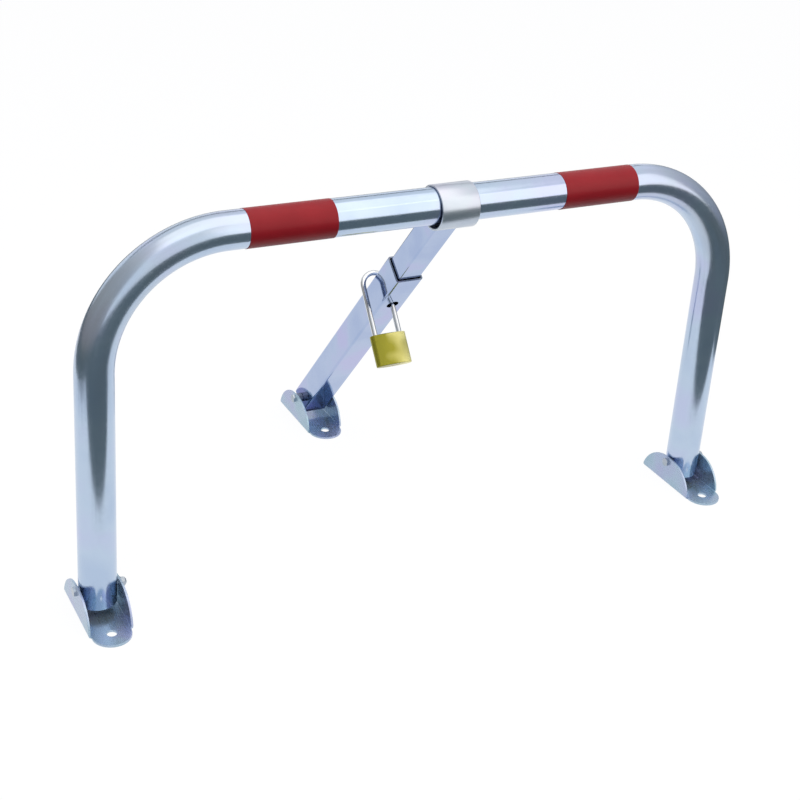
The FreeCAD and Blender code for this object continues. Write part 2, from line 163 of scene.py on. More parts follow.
def paper():
    """Matt white paper, with a glow for the eye alone that lifts it to the white of the picture."""
    material, tree = new_material("white_studio_paper")
    matt = add_node(tree, "ShaderNodeBsdfDiffuse", {"Color": linear("#616264")})
    strength = add_node(tree, "ShaderNodeMath", {0: seen_directly(tree), 1: FLOOR_GLOW}, operation="MULTIPLY")
    glow = add_node(tree, "ShaderNodeEmission", {"Color": linear("#FFFFFF"), "Strength": strength.outputs[0]})
    both = add_node(tree, "ShaderNodeAddShader", {0: matt.outputs[0], 1: glow.outputs[0]})
    add_node(tree, "ShaderNodeOutputMaterial", {"Surface": both.outputs[0]})
    return material


def stage_mesh(name, mesh, material):
    """Put a finished bmesh in the studio as a piece of the stage."""
    data = bpy.data.meshes.new(name)
    mesh.to_mesh(data)
    mesh.free()
    thing = bpy.data.objects.new(name, data)
    thing.data.materials.append(material)
    bpy.context.scene.collection.objects.link(thing)
    return thing


mesh = bmesh.new()
bmesh.ops.create_grid(mesh, x_segments=1, y_segments=1, size=FLOOR_SIDE / 2)
stage_mesh("floor", mesh, paper())
print("floor:", FLOOR_SIDE, "m wide")

# %% [markdown]
# ## Flags
# Beyond the paper the real ground is dark, and that ground is the grey streak that runs along the tube. Dark
# walls would do the same, but they would also take light away. Flags are cards that only reflections see. One
# lies on the ground round the paper. Two stand at the left and the right and fade to white upwards. A narrow
# one stands high at the back, for the thin line along the upper edge of the top run.


# %% Flag helpers
def only_in_reflections(thing):
    """A flag: seen by glossy rays, and by nothing else."""
    thing.visible_camera = False
    thing.visible_diffuse = False
    thing.visible_transmission = False
    thing.visible_shadow = False
    print("flag:", thing.name)


def card(name, low_tone, high_tone=None, bottom=0.0, top=1.0):
    """A card of one tone, or of a tone that changes with height from one metre mark to another."""
    material, tree = new_material(name)
    colour = linear(low_tone)
    if high_tone:
        place = add_node(tree, "ShaderNodeTexCoord").outputs["Object"]
        height = add_node(tree, "ShaderNodeSeparateXYZ", {"Vector": place}).outputs["Z"]
        share = add_node(tree, "ShaderNodeMapRange", {"Value": height, "From Min": bottom, "From Max": top})
        ramp = add_node(tree, "ShaderNodeValToRGB", {"Fac": share.outputs[0]})
        ramp.color_ramp.elements[0].color = linear(low_tone)
        ramp.color_ramp.elements[1].color = linear(high_tone)
        colour = ramp.outputs["Color"]
    tone = add_node(tree, "ShaderNodeEmission", {"Color": colour})
    add_node(tree, "ShaderNodeOutputMaterial", {"Surface": tone.outputs[0]})
    return material


# %% Ground flag
PAPER_LEFT, PAPER_RIGHT, PAPER_FRONT, PAPER_BACK = -0.95, 0.80, -0.205, 1.30
FLAG_REACH = 9.0
FLAG_LIFT = 0.4 * MM
paper_x, paper_y = (PAPER_LEFT + PAPER_RIGHT) / 2, (PAPER_FRONT + PAPER_BACK) / 2
mesh = bmesh.new()
bmesh.ops.create_grid(mesh, x_segments=1, y_segments=1, size=0.5)
bmesh.ops.scale(mesh, vec=(PAPER_RIGHT - PAPER_LEFT, PAPER_BACK - PAPER_FRONT, 1), verts=mesh.verts)
bmesh.ops.translate(mesh, vec=(paper_x, paper_y, FLAG_LIFT), verts=mesh.verts)
sheet_face = mesh.faces[:]
rim = bmesh.ops.extrude_edge_only(mesh, edges=mesh.edges[:])
for corner in (item for item in rim["geom"] if isinstance(item, bmesh.types.BMVert)):
    corner.co.x += math.copysign(FLAG_REACH, corner.co.x - paper_x)
    corner.co.y += math.copysign(FLAG_REACH, corner.co.y - paper_y)
bmesh.ops.delete(mesh, geom=sheet_face, context="FACES")
only_in_reflections(stage_mesh("ground_flag", mesh, card("dark_ground_flag", "#6C7678")))


# %% Upright flags
def wall_flag(name, first, last, bottom, top, low_tone, high_tone=None):
    """An upright flag between two points of the floor plan."""
    mesh = bmesh.new()
    mesh.faces.new([mesh.verts.new((*spot, z)) for spot, z in (
        (first, bottom), (last, bottom), (last, top), (first, top))])
    only_in_reflections(stage_mesh(name, mesh, card(f"{name}_card", low_tone, high_tone, bottom, top)))


wall_flag("left_flag", (-2.4, -2.6), (-2.4, 3.4), 0.0, 5.0, "#96948F", "#FFFFFF")
wall_flag("right_flag", (2.6, -1.2), (2.6, 2.6), 0.0, 2.6, "#8A8E98", "#FFFFFF")
wall_flag("back_line", (-3.0, 3.4), (6.0, 3.4), 2.2, 2.85, "#56606A")

# %% [markdown]
# ## Room and lamps
# The room gives a faint light from all sides, and looks white where it is seen. A wide soft box hangs above,
# a smaller and stronger one at the left gives the shadow its side, and a wide weak one at the front right
# fills the rest. The small one is not mirrored, because a hard white square would show in the tube.

# %% Room
ROOM_LIGHT = 0.45
world = bpy.data.worlds.new("pale_room")
bpy.context.scene.world = world
world.use_nodes = True
tree = world.node_tree
tree.nodes.clear()
lit = add_node(tree, "ShaderNodeBackground", {"Color": linear("#F4F7FF"), "Strength": ROOM_LIGHT})
white = add_node(tree, "ShaderNodeBackground", {"Color": linear("#FFFFFF"), "Strength": 1.0})
either = add_node(tree, "ShaderNodeMixShader",
                  {0: seen_directly(tree), 1: lit.outputs[0], 2: white.outputs[0]})
add_node(tree, "ShaderNodeOutputWorld", {"Surface": either.outputs[0]})
print("room light:", ROOM_LIGHT)


# %% Lamps
def soft_light(name, place, aim, side, radiance, hex_colour, mirrored=True):
    """A square soft box of an even brightness, turned to face a point, and mirrored in the metal or not."""
    data = bpy.data.lights.new(name, "AREA")
    data.shape = "SQUARE"
    data.size = side
    data.energy = radiance * math.pi * side ** 2
    data.color = linear(hex_colour)[:3]
    lamp = bpy.data.objects.new(name, data)
    facing = (aim - place).to_track_quat("-Z", "Y")
    lamp.matrix_world = Matrix.Translation(place) @ facing.to_matrix().to_4x4()
    lamp.visible_glossy = mirrored
    bpy.context.scene.collection.objects.link(lamp)
    print(f"{name} light: {data.energy:.1f} W")


middle = (cad_box[0] + cad_box[1]) / 2
soft_light("overhead", middle + Vector((0, -0.4, 2.4)), middle, 2.6, 0.75, "#FFF1DF")
soft_light("key", middle + Vector((-1.5, -1.7, 1.9)), middle, 0.9, 3.0, "#FFFDF8", mirrored=False)
soft_light("front_right", middle + Vector((1.5, -2.1, 1.25)), middle, 2.6, 0.62, "#FFF1DF")
bpy.context.scene.view_settings.view_transform = "Standard"

# %% [markdown]
# ## Bright zinc plate
# Every steel piece is electroplated with zinc and passivated. That gives a bright bluish metal with faint
# clouds of lilac, and what was done to the steel before still shows through: drawing lines along a tube,
# rolling marks on sheet. One function makes the finish, and the pieces differ in tone, in gloss and in the
# direction of their lines.

# %% Zinc finish
DRAWN_LINE_MM = 1.6
LINE_DEPTH = 0.05 * MM
SPECKLE_MM = 5
BEND_DULLING = 0.06
BLOOM = "#A6ACB4"
BLOOM_LONG_MM, BLOOM_WIDE_MM = 160, 16


def zinc(name, pale, deep, lilac, roughness, cloud_mm, line_stretch, relief=0.08, grain=0.3, metallic=1.0,
         bent=False):
    """Bright zinc plate: passivation clouds, lines along the piece, and a fine grain in the gloss.

    line_stretch gives how long the lines are along X, Y and Z, in line widths. Lines finer than a pixel
    would vanish, so they are drawn 1.6 mm wide here, where the real ones are a tenth of that. The gloss
    varies by the share that grain gives. On a bent tube the pattern follows the piece's own attributes, and
    the stretched metal of the bends is duller and has a grey bloom along the tube.
    """
    material, tree = new_material(name)
    if bent:
        place = add_node(tree, "ShaderNodeAttribute", attribute_name="straightened").outputs["Vector"]
    else:
        place = add_node(tree, "ShaderNodeTexCoord").outputs["Object"]
    clouds = add_node(tree, "ShaderNodeTexNoise",
                      {"Vector": place, "Scale": per_metre(cloud_mm), "Detail": 3.0})
    tint = add_node(tree, "ShaderNodeValToRGB", {"Fac": clouds.outputs["Fac"]})
    ramp = tint.color_ramp.elements
    ramp[0].position, ramp[0].color = 0.34, linear(deep)
    ramp[1].position, ramp[1].color = 0.66, linear(lilac)
    between = ramp.new(0.5)
    between.color = linear(pale)
    line_scale = tuple(per_metre(DRAWN_LINE_MM * stretch) for stretch in line_stretch)
    drawn = add_node(tree, "ShaderNodeMapping", {"Vector": place, "Scale": line_scale})
    lines = add_node(tree, "ShaderNodeTexNoise", {"Vector": drawn.outputs[0], "Scale": 1.0, "Detail": 2.0})
    speckle = add_node(tree, "ShaderNodeTexNoise",
                       {"Vector": place, "Scale": per_metre(SPECKLE_MM), "Detail": 4.0})
    mixed = add_node(tree, "ShaderNodeMath", {0: lines.outputs["Fac"], 1: speckle.outputs["Fac"]},
                     operation="ADD")
    gloss = add_node(tree, "ShaderNodeMapRange",
                     {"Value": mixed.outputs[0], "From Min": 0.6, "From Max": 1.4,
                      "To Min": roughness * (1 - grain), "To Max": roughness * (1 + grain)})
    colour = tint.outputs["Color"]
    if bent:
        bend = add_node(tree, "ShaderNodeAttribute", attribute_name="bend")
        gloss = add_node(tree, "ShaderNodeMath", operation="MULTIPLY_ADD",
                         sockets={0: bend.outputs["Fac"], 1: BEND_DULLING, 2: gloss.outputs[0]})
        bloom_scale = tuple(per_metre(size) for size in (BLOOM_LONG_MM, BLOOM_WIDE_MM, BLOOM_WIDE_MM))
        spread = add_node(tree, "ShaderNodeMapping", {"Vector": place, "Scale": bloom_scale})
        bloom = add_node(tree, "ShaderNodeTexNoise",
                         {"Vector": spread.outputs[0], "Scale": 1.0, "Detail": 2.0})
        share = add_node(tree, "ShaderNodeMapRange",
                         {"Value": bloom.outputs["Fac"], "From Min": 0.4, "From Max": 0.7, "To Max": 0.5})
        share = add_node(tree, "ShaderNodeMath", {0: share.outputs[0], 1: bend.outputs["Fac"]},
                         operation="MULTIPLY")
        colour = add_node(tree, "ShaderNodeMix", data_type="RGBA",
                          sockets={0: share.outputs[0], 6: colour, 7: linear(BLOOM)}).outputs[2]
    drawn_relief = add_node(tree, "ShaderNodeBump",
                            {"Height": lines.outputs["Fac"], "Strength": relief, "Distance": LINE_DEPTH})
    shader = add_node(tree, "ShaderNodeBsdfPrincipled",
                      {"Base Color": colour, "Metallic": metallic, "Roughness": gloss.outputs[0],
                       "Normal": drawn_relief.outputs["Normal"]})
    add_node(tree, "ShaderNodeOutputMaterial", {"Surface": shader.outputs[0]})
    print("finish:", name)
    return material


# %% Zinc finishes of the pieces
LONG = 120
# Drawn tube: clear mirrored streaks along it, and a duller grey bloom in the bends.
tube_zinc = zinc("zinc_plated_drawn_tube", "#B9CADF", "#B0C2DB", "#BBC4E1", 0.17, 90, (LONG, 1, 1), bent=True)
# Square tube: flat and smooth, so each face mirrors one even blue tone.
strut_zinc = zinc("zinc_plated_square_tube", "#A8B8D6", "#9FB0D2", "#AEB2D8", 0.08, 60, (1, LONG, LONG),
                  0.02, 0.1)
# Rolled sheet: a satin pale blue that blurs what it mirrors.
sheet_zinc = zinc("zinc_plated_steel_sheet", "#B4C9E0", "#AAC6D8", "#B6C0E1", 0.28, 40, (1, LONG, 1),
                  0.02, 0.12, metallic=0.7)
# Sawn ends and rear spacers: matt and without lines as sawn steel, and dark as painted shade for the gaps at
# the sleeve's rim and beside the ears.
shade_dark_zinc = zinc("zinc_plated_dark_painted_shade", "#7E8A9C", "#738094", "#8489A0", 0.5, 12, (1, 1, 1), 0.05)
# Fasteners: greyer than the tube, with small clouds.
bolt_zinc = zinc("zinc_plated_fasteners", "#A8B2BD", "#9AA5B2", "#ADB3BF", 0.20, 8, (LONG, 1, 1))
# Collar: a pale satin with soft highlights and no sharp reflection.
collar_zinc = zinc("zinc_plated_collar", "#C6D0DC", "#BDC8D7", "#C8CCDC", 0.30, 40, (1, LONG, LONG),
                   0.02, 0.1, metallic=0.9)
# Weld: a little dull, with an uneven relief that breaks up its highlights.
weld_zinc = zinc("zinc_plated_weld", "#A9B3C2", "#98A3B4", "#B0B4C8", 0.34, 6, (1, 1, 1), 0.2)

# %% [markdown]
# ## Red reflective foil
# The bands are self-adhesive foil with tiny glass beads under a clear film. From a step away it is an even
# deep red with a soft sheen, and close up it has a fine grain. A clear coat over a grainy red body gives
# both.

# %% Foil finish
BEAD_MM = 0.9
FADE_MM = 35


def reflective_foil():
    """Deep red beaded film. The beads are drawn many times their real size, so that they show."""
    material, tree = new_material("red_beaded_reflective_foil")
    place = add_node(tree, "ShaderNodeTexCoord").outputs["Object"]
    fade = add_node(tree, "ShaderNodeTexNoise", {"Vector": place, "Scale": per_metre(FADE_MM), "Detail": 3.0})
    beads = add_node(tree, "ShaderNodeTexVoronoi", {"Vector": place, "Scale": per_metre(BEAD_MM)})
    red = add_node(tree, "ShaderNodeValToRGB", {"Fac": fade.outputs["Fac"]})
    red.color_ramp.elements[0].position, red.color_ramp.elements[0].color = 0.35, linear("#A51B28")
    red.color_ramp.elements[1].position, red.color_ramp.elements[1].color = 0.65, linear("#AF1F2C")
    gloss = add_node(tree, "ShaderNodeMapRange",
                     {"Value": beads.outputs["Distance"], "From Max": 0.8, "To Min": 0.34, "To Max": 0.46})
    relief = add_node(tree, "ShaderNodeBump",
                      {"Height": beads.outputs["Distance"], "Strength": 0.10, "Distance": 0.03 * MM})
    shader = add_node(tree, "ShaderNodeBsdfPrincipled",
                      {"Base Color": red.outputs["Color"], "Roughness": gloss.outputs[0], "IOR": 1.5,
                       "Specular IOR Level": 0.25, "Coat Weight": 0.05, "Coat Roughness": 0.25,
                       "Normal": relief.outputs["Normal"]})
    add_node(tree, "ShaderNodeOutputMaterial", {"Surface": shader.outputs[0]})
    return material


foil = reflective_foil()
print("finish:", foil.name)

# %% [markdown]
# ## Brass and chrome on the padlock
# The body is extruded brass, brushed along its width, and the shackle is steel with a hard bright chrome.
# Its colour goes from olive at the left to straw at the right, which is painted shade and painted highlight,
# and a little random tarnish drifts over it.

# %% Padlock finishes
TARNISH_MM = 26
BRUSH_LONG_MM, BRUSH_WIDE_MM = 30, 0.7


def brushed_brass(name, dark, light, roughness, left, right):
    """Satin brass: long fine brush lines in the gloss, painted shade and highlight from the left to the right,
    and random tarnish.
    """
    material, tree = new_material(name)
    place = add_node(tree, "ShaderNodeTexCoord").outputs["Object"]
    sideways = add_node(tree, "ShaderNodeSeparateXYZ", {"Vector": place}).outputs["X"]
    # Painted shade at the left and painted highlight at the right, across the lock.
    fade = add_node(tree, "ShaderNodeMapRange",
                    {"Value": sideways, "From Min": left, "From Max": right, "To Min": -0.45, "To Max": 0.55})
    drift = add_node(tree, "ShaderNodeTexNoise",
                     {"Vector": place, "Scale": per_metre(TARNISH_MM), "Detail": 1.0})
    # Painted shade and highlight, with random tarnish from the noise added.
    shade_and_tarnish = add_node(tree, "ShaderNodeMath", {0: fade.outputs[0], 1: drift.outputs["Fac"]}, operation="ADD")
    tone = add_node(tree, "ShaderNodeValToRGB", {"Fac": shade_and_tarnish.outputs[0]})
    tone.color_ramp.elements[0].position, tone.color_ramp.elements[0].color = 0.4, linear(dark)
    tone.color_ramp.elements[1].position, tone.color_ramp.elements[1].color = 1.0, linear(light)
    brush_scale = tuple(per_metre(size) for size in (BRUSH_LONG_MM, BRUSH_WIDE_MM, BRUSH_WIDE_MM))
    along = add_node(tree, "ShaderNodeMapping", {"Vector": place, "Scale": brush_scale})
    brushed = add_node(tree, "ShaderNodeTexNoise", {"Vector": along.outputs[0], "Scale": 1.0, "Detail": 3.0})
    gloss = add_node(tree, "ShaderNodeMapRange",
                     {"Value": brushed.outputs["Fac"], "From Min": 0.3, "From Max": 0.7,
                      "To Min": roughness * 0.85, "To Max": roughness * 1.15})
    relief = add_node(tree, "ShaderNodeBump",
                      {"Height": brushed.outputs["Fac"], "Strength": 0.02, "Distance": 0.02 * MM})
    shader = add_node(tree, "ShaderNodeBsdfPrincipled",
                      {"Base Color": tone.outputs["Color"], "Metallic": 0.7, "Roughness": gloss.outputs[0],
                       "Coat Weight": 0.4, "Coat Roughness": 0.3, "Normal": relief.outputs["Normal"]})
    add_node(tree, "ShaderNodeOutputMaterial", {"Surface": shader.outputs[0]})
    print("finish:", name)
    return material


lock_low, lock_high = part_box("padlock_body")
# Lacquered body: satin, olive at the left as painted shade and pale straw at the right as painted highlight.
body_brass = brushed_brass("lacquered_brushed_brass", "#98941A", "#FFF8A4", 0.38, lock_low.x, lock_high.x)
# Turned plug: greyer and glossier than the body, with the same painted shade and highlight from the left to the
# right.
plug_brass = brushed_brass("turned_brass", "#9C9446", "#BDB56A", 0.24, lock_low.x, lock_high.x)
# Chromed bow: nearly a mirror, without a blue cast.
shackle_chrome = zinc("chromed_steel_shackle", "#D9DDE2", "#CDD2D8", "#DADCE0", 0.08, 12, (1, LONG, LONG),
                      0.02)

# %% [markdown]
# ## Putting a piece in place
# Each new piece is a mesh in the frame's own metres, with its object at the origin. A helper turns a bmesh into
# an object, gives it its finish, lets it ride on a body and hides the node it stands for.


# %% Piece helper
def piece(name, mesh, material, body, stands_for=None, sharp_degrees=32):
    """Make an object of a finished bmesh, smooth it up to an angle, and let it ride on a body."""
    data = bpy.data.meshes.new(name)
    for face in mesh.faces:
        face.smooth = True
    mesh.to_mesh(data)
    mesh.free()
    data.set_sharp_from_angle(angle=math.radians(sharp_degrees))
    thing = bpy.data.objects.new(name, data)
    data.materials.append(material)
    bpy.context.scene.collection.objects.link(thing)
    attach(thing, body)
    if stands_for:
        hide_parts(stands_for)
    print(f"{name}: {len(data.polygons)} faces")
    return thing


# %% [markdown]
# ## The hoop
# The real hoop is a straight tube that was bent twice. It is made the same way here: a ring of points is
# drawn up the left leg, spun round the first bend, drawn along the top, spun round the second bend and drawn
# down again. A Solidify modifier gives the skin its wall, and a Boolean bores the pin holes through both
# legs, as a drill would. Each point also keeps where it was on the straight tube, so that the drawing lines
# follow the bends, and how much its place was bent.

# %% Hoop sizes
BEND_RADIUS = 141 * MM
tube_low, tube_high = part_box("hoop_tube")
tube_radius = (tube_high.y - tube_low.y) / 2
axis_y = (tube_low.y + tube_high.y) / 2
leg_x = tube_high.x - tube_radius
top_z = tube_high.z - tube_radius
bend_x = leg_x - BEND_RADIUS
bend_z = top_z - BEND_RADIUS
print("tube:", round(2 * tube_radius / MM, 1), "mm thick, legs", round(2 * leg_x / MM, 1), "mm apart")

# %% Draw and bend the tube
RING_POINTS = 96
BEND_STEPS = 48
LEG_STEPS = 8
TOP_STEPS = 24
MERGE = 0.001 * MM


def draw_out(mesh, ring, shift, steps):
    """Extrude a ring of edges along a vector in equal steps, and return the last ring."""
    for _ in range(steps):
        grown = bmesh.ops.extrude_edge_only(mesh, edges=ring)["geom"]
        ring = [item for item in grown if isinstance(item, bmesh.types.BMEdge)]
        moved = {corner for edge in ring for corner in edge.verts}
        bmesh.ops.translate(mesh, verts=list(moved), vec=shift / steps)
    return ring


mesh = bmesh.new()
start = Matrix.Translation((-leg_x, axis_y, tube_low.z))
bmesh.ops.create_circle(mesh, segments=RING_POINTS, radius=tube_radius, matrix=start)
ring = draw_out(mesh, mesh.edges[:], Vector((0, 0, bend_z - tube_low.z)), LEG_STEPS)
for centre_x, run, steps in ((-bend_x, Vector((2 * bend_x, 0, 0)), TOP_STEPS),
                             (bend_x, Vector((0, 0, tube_low.z - bend_z)), LEG_STEPS)):
    spun = bmesh.ops.spin(mesh, geom=ring, cent=(centre_x, axis_y, bend_z), axis=(0, 1, 0), dvec=(0, 0, 0),
                          angle=math.pi / 2, steps=BEND_STEPS, use_merge=False, use_duplicate=False)
    ring = [item for item in spun["geom_last"] if isinstance(item, bmesh.types.BMEdge)]
    ring = draw_out(mesh, ring, run, steps)
bmesh.ops.remove_doubles(mesh, verts=mesh.verts, dist=MERGE)
bmesh.ops.recalc_face_normals(mesh, faces=mesh.faces)
hoop = piece("hoop_bent_tube", mesh, tube_zinc, "hoop", "hoop_tube")

# %% Remember the straight tube
BEND_FADE = 40 * MM


def straightened(point):
    """Where a point was before the tube was bent: along it, to the back, and away from the inside."""
    side = -1 if point.x < 0 else 1
    out_x, up_z = abs(point.x) - bend_x, point.z - bend_z
    quarter = BEND_RADIUS * math.pi / 2
    if up_z < 0:
        along, outward = bend_x + quarter - up_z, out_x - BEND_RADIUS
    elif out_x < 0:
        along, outward = abs(point.x), up_z - BEND_RADIUS
    else:
        along = bend_x + BEND_RADIUS * math.atan2(out_x, up_z)
        outward = math.hypot(out_x, up_z) - BEND_RADIUS
    return side * along, point.y - axis_y, outward


unbent = hoop.data.attributes.new("straightened", "FLOAT_VECTOR", "POINT")
for vertex in hoop.data.vertices:
    unbent.data[vertex.index].vector = straightened(vertex.co)
bend = hoop.data.attributes.new("bend", "FLOAT", "POINT")
for vertex in hoop.data.vertices:
    into_bend = min(abs(vertex.co.x) - bend_x, vertex.co.z - bend_z) + BEND_FADE
    bend.data[vertex.index].value = min(max(into_bend / (2 * BEND_FADE), 0), 1)
print("straight tube:", round(2 * straightened(Vector((leg_x, axis_y, tube_low.z)))[0], 3), "m long")

# %% Tube wall and pin holes
TUBE_WALL = 2 * MM
PIN_HOLE = 7 * MM
HOLE_POINTS = 48
DEBURRED = 0.6 * MM


def joint_place(name):
    """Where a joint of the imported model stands."""
    joints = frame["record"]["behaviour"]["joints"]
    return Vector(next(joint for joint in joints if joint["name"] == name)["pos_m"])


through = Matrix.Translation(joint_place("hoop_fold")) @ Matrix.Rotation(math.pi / 2, 4, "Y")
mesh = bmesh.new()
bmesh.ops.create_cone(mesh, cap_ends=True, segments=HOLE_POINTS, radius1=PIN_HOLE / 2, radius2=PIN_HOLE / 2,
                      depth=3 * leg_x, matrix=through)
drill_data = bpy.data.meshes.new("drill")
mesh.to_mesh(drill_data)
mesh.free()
drill = bpy.data.objects.new("drill", drill_data)
bpy.context.scene.collection.objects.link(drill)
wall = hoop.modifiers.new("wall", "SOLIDIFY")
wall.thickness = TUBE_WALL
wall.offset = -1
bores = hoop.modifiers.new("pin_holes", "BOOLEAN")
bores.object = drill
edges = hoop.modifiers.new("deburred_edges", "BEVEL")
edges.width, edges.segments, edges.limit_method, edges.angle_limit = DEBURRED, 3, "ANGLE", math.radians(60)
finished = bpy.data.meshes.new_from_object(hoop.evaluated_get(bpy.context.evaluated_depsgraph_get()))
hoop.modifiers.clear()
hoop.data = finished
bpy.data.objects.remove(drill)
print("hoop:", len(finished.polygons), "faces with its wall and pin holes")

# %% [markdown]
# ## The reflective bands
# Each band is one strip of foil wound round the tube, and it laps over itself at the underside, where nobody
# looks. A short profile is spun a full turn, and the lap is a shorter turn, a film's thickness higher.

# %% Reflective bands
FILM = 0.3 * MM
FULL_TURN = 360
LAP_START, LAP_DEGREES = 250, 24
for side in ("left", "right"):
    low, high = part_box(f"{side}_reflective_band")
    centre = (low + high) / 2
    outer = (high.z - low.z) / 2
    mesh = bmesh.new()
    for inner_radius, first, sweep in ((outer - FILM, 0, FULL_TURN), (outer, LAP_START, LAP_DEGREES)):
        profile = [mesh.verts.new((x, centre.y, centre.z + r)) for x, r in (
            (low.x, inner_radius), (low.x, inner_radius + FILM), (high.x, inner_radius + FILM),
            (high.x, inner_radius))]
        section = mesh.faces.new(profile)
        begin = Matrix.Rotation(math.radians(first), 3, "X")
        bmesh.ops.rotate(mesh, verts=profile, cent=centre, matrix=begin)
        whole = sweep == FULL_TURN
        geometry = list(section.edges) if whole else [section]
        bmesh.ops.spin(mesh, geom=geometry, cent=centre, axis=(1, 0, 0), dvec=(0, 0, 0), use_merge=whole,
                       angle=math.radians(sweep), steps=RING_POINTS * sweep // FULL_TURN, use_duplicate=False)
        if whole:
            bmesh.ops.delete(mesh, geom=[section], context="FACES_ONLY")
    bmesh.ops.recalc_face_normals(mesh, faces=mesh.faces)
    piece(f"{side}_foil_band", mesh, foil, "hoop", f"{side}_reflective_band")

# %% [markdown]
# ## The collar
# The collar is a short ring cut from a wider tube. Its cut ends were deburred, so its lips are round. A
# profile of four corners is spun about the tube's direction, and a bevel rounds the lips.

# %% Collar
LIP = 0.7 * MM
COLLAR_WALL = 2.3 * MM
low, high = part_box("collar")
collar_centre = (low + high) / 2
collar_outer = (high.z - low.z) / 2
mesh = bmesh.new()
profile = [mesh.verts.new((x, collar_centre.y, collar_centre.z + r)) for x, r in (
    (low.x, collar_outer - COLLAR_WALL), (low.x, collar_outer), (high.x, collar_outer),
    (high.x, collar_outer - COLLAR_WALL))]
edges = [mesh.edges.new((profile[number], profile[(number + 1) % 4])) for number in range(4)]
bmesh.ops.spin(mesh, geom=edges, cent=collar_centre, axis=(1, 0, 0), dvec=(0, 0, 0), angle=2 * math.pi,
               steps=RING_POINTS, use_merge=True, use_duplicate=False)
bmesh.ops.recalc_face_normals(mesh, faces=mesh.faces)
lips = [edge for edge in mesh.edges if edge.is_manifold and edge.calc_face_angle() > math.radians(60)]
bmesh.ops.bevel(mesh, geom=lips, offset=LIP, offset_type="OFFSET", segments=3, profile=0.5, affect="EDGES",
                material=-1)
piece("collar_ring", mesh, collar_zinc, "upper_strut", "collar")

# %% [markdown]
# ## The weld
# The strut's square tube is coped to the collar and welded all round before both are plated. The bead follows
# the line where the two surfaces meet, so its path is worked out from the square section and the collar's
# radius. A curve with a round bevel draws it, a radius that rises and falls gives the ripples, and the curve
# is then made a mesh.

# %% Path of the weld
RIPPLES_PER_SIDE = 14
slider_low, slider_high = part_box("upper_strut_tube")
slider_half = (slider_high.x - slider_low.x) / 2
strut_direction = (collar_centre - joint_place("lower_strut_fold")).normalized()
across = Vector((1, 0, 0)).cross(strut_direction)
corners = ((-1, -1), (1, -1), (1, 1), (-1, 1))
stations = []
for number, (u, v) in enumerate(corners):
    next_u, next_v = corners[(number + 1) % 4]
    for step in range(RIPPLES_PER_SIDE):
        share = step / RIPPLES_PER_SIDE
        side_place = (u + (next_u - u) * share) * slider_half
        height = (v + (next_v - v) * share) * slider_half
        down = math.sqrt(collar_outer ** 2 - height ** 2)
        stations.append(collar_centre + Vector((side_place, 0, 0)) + across * height - strut_direction * down)
print("weld path:", len(stations), "points")

# %% Weld bead
BEAD = 1.5 * MM
RIPPLE_LOW = 0.8
path = bpy.data.curves.new("weld_path", "CURVE")
path.dimensions = "3D"
path.bevel_depth = BEAD
path.bevel_resolution = 3
line = path.splines.new("POLY")
line.points.add(len(stations) - 1)
line.use_cyclic_u = True
for number, (point, station) in enumerate(zip(line.points, stations)):
    point.co = (*station, 1)
    point.radius = 1.0 if number % 2 else RIPPLE_LOW
drawn_path = bpy.data.objects.new("weld_path", path)
bead_data = bpy.data.meshes.new_from_object(drawn_path)
bpy.data.objects.remove(drawn_path)
mesh = bmesh.new()
mesh.from_mesh(bead_data)
bmesh.ops.remove_doubles(mesh, verts=mesh.verts, dist=MERGE)
bmesh.ops.recalc_face_normals(mesh, faces=mesh.faces)
piece("collar_weld_bead", mesh, weld_zinc, "upper_strut", sharp_degrees=60)

# %% [markdown]
# ## Bolts and lock nuts
# The pivots are hexagon bolts with lock nuts. A hexagon head is turned to a shallow cone before it is struck,
# so its corners are cut back in curves. That is drawn here by dividing the hexagon's sides and pushing each
# point back by its distance beyond the flats. Rings are then extruded from station to station along the bolt,
# and narrow rings near its tip make the thread.

# %% Hexagon rings
SIDE_CUTS = 7
CONE = math.tan(math.radians(30))


def hexagon_ring(mesh, axis, x, flats):
    """A hexagon about the bolt's axis, with each side divided, and its corners up and down."""
    upright = Matrix.Translation((x, axis.y, axis.z)) @ Matrix.Rotation(math.pi / 2, 4, "Y")
    bmesh.ops.create_circle(mesh, segments=6, radius=flats / 2 / math.cos(math.pi / 6),
                            matrix=upright @ Matrix.Rotation(math.pi / 6, 4, "Z"))
    bmesh.ops.subdivide_edges(mesh, edges=mesh.edges[:], cuts=SIDE_CUTS)
    return mesh.edges[:]


def next_ring(mesh, ring, axis, x, radius=None):
    """Extrude a ring of edges to a station along X, and to a radius about the axis if one is given."""
    grown = bmesh.ops.extrude_edge_only(mesh, edges=ring)["geom"]
    ring = [item for item in grown if isinstance(item, bmesh.types.BMEdge)]
    for corner in {corner for edge in ring for corner in edge.verts}:
        away = Vector((0, corner.co.y - axis.y, corner.co.z - axis.z))
        corner.co = Vector((x, axis.y, axis.z)) + (away.normalized() * radius if radius else away)
    return ring


def push_back(ring, axis, flats, direction):
    """Cone the end of a hexagon: a point goes back by its distance beyond the flats."""
    for corner in {corner for edge in ring for corner in edge.verts}:
        beyond = math.hypot(corner.co.y - axis.y, corner.co.z - axis.z) - flats / 2
        corner.co.x += direction * beyond * CONE


# %% Bolt
HEAD_HEIGHT = 3 * MM
HEAD_FACE = (0.475, 0.3)        # radius of the rings on the head's face, in widths across the flats
BOLT_RADIUS = 3 * MM
THREAD_PITCH = 1 * MM
THREAD_DEPTH = 0.35 * MM
THREADS = 9


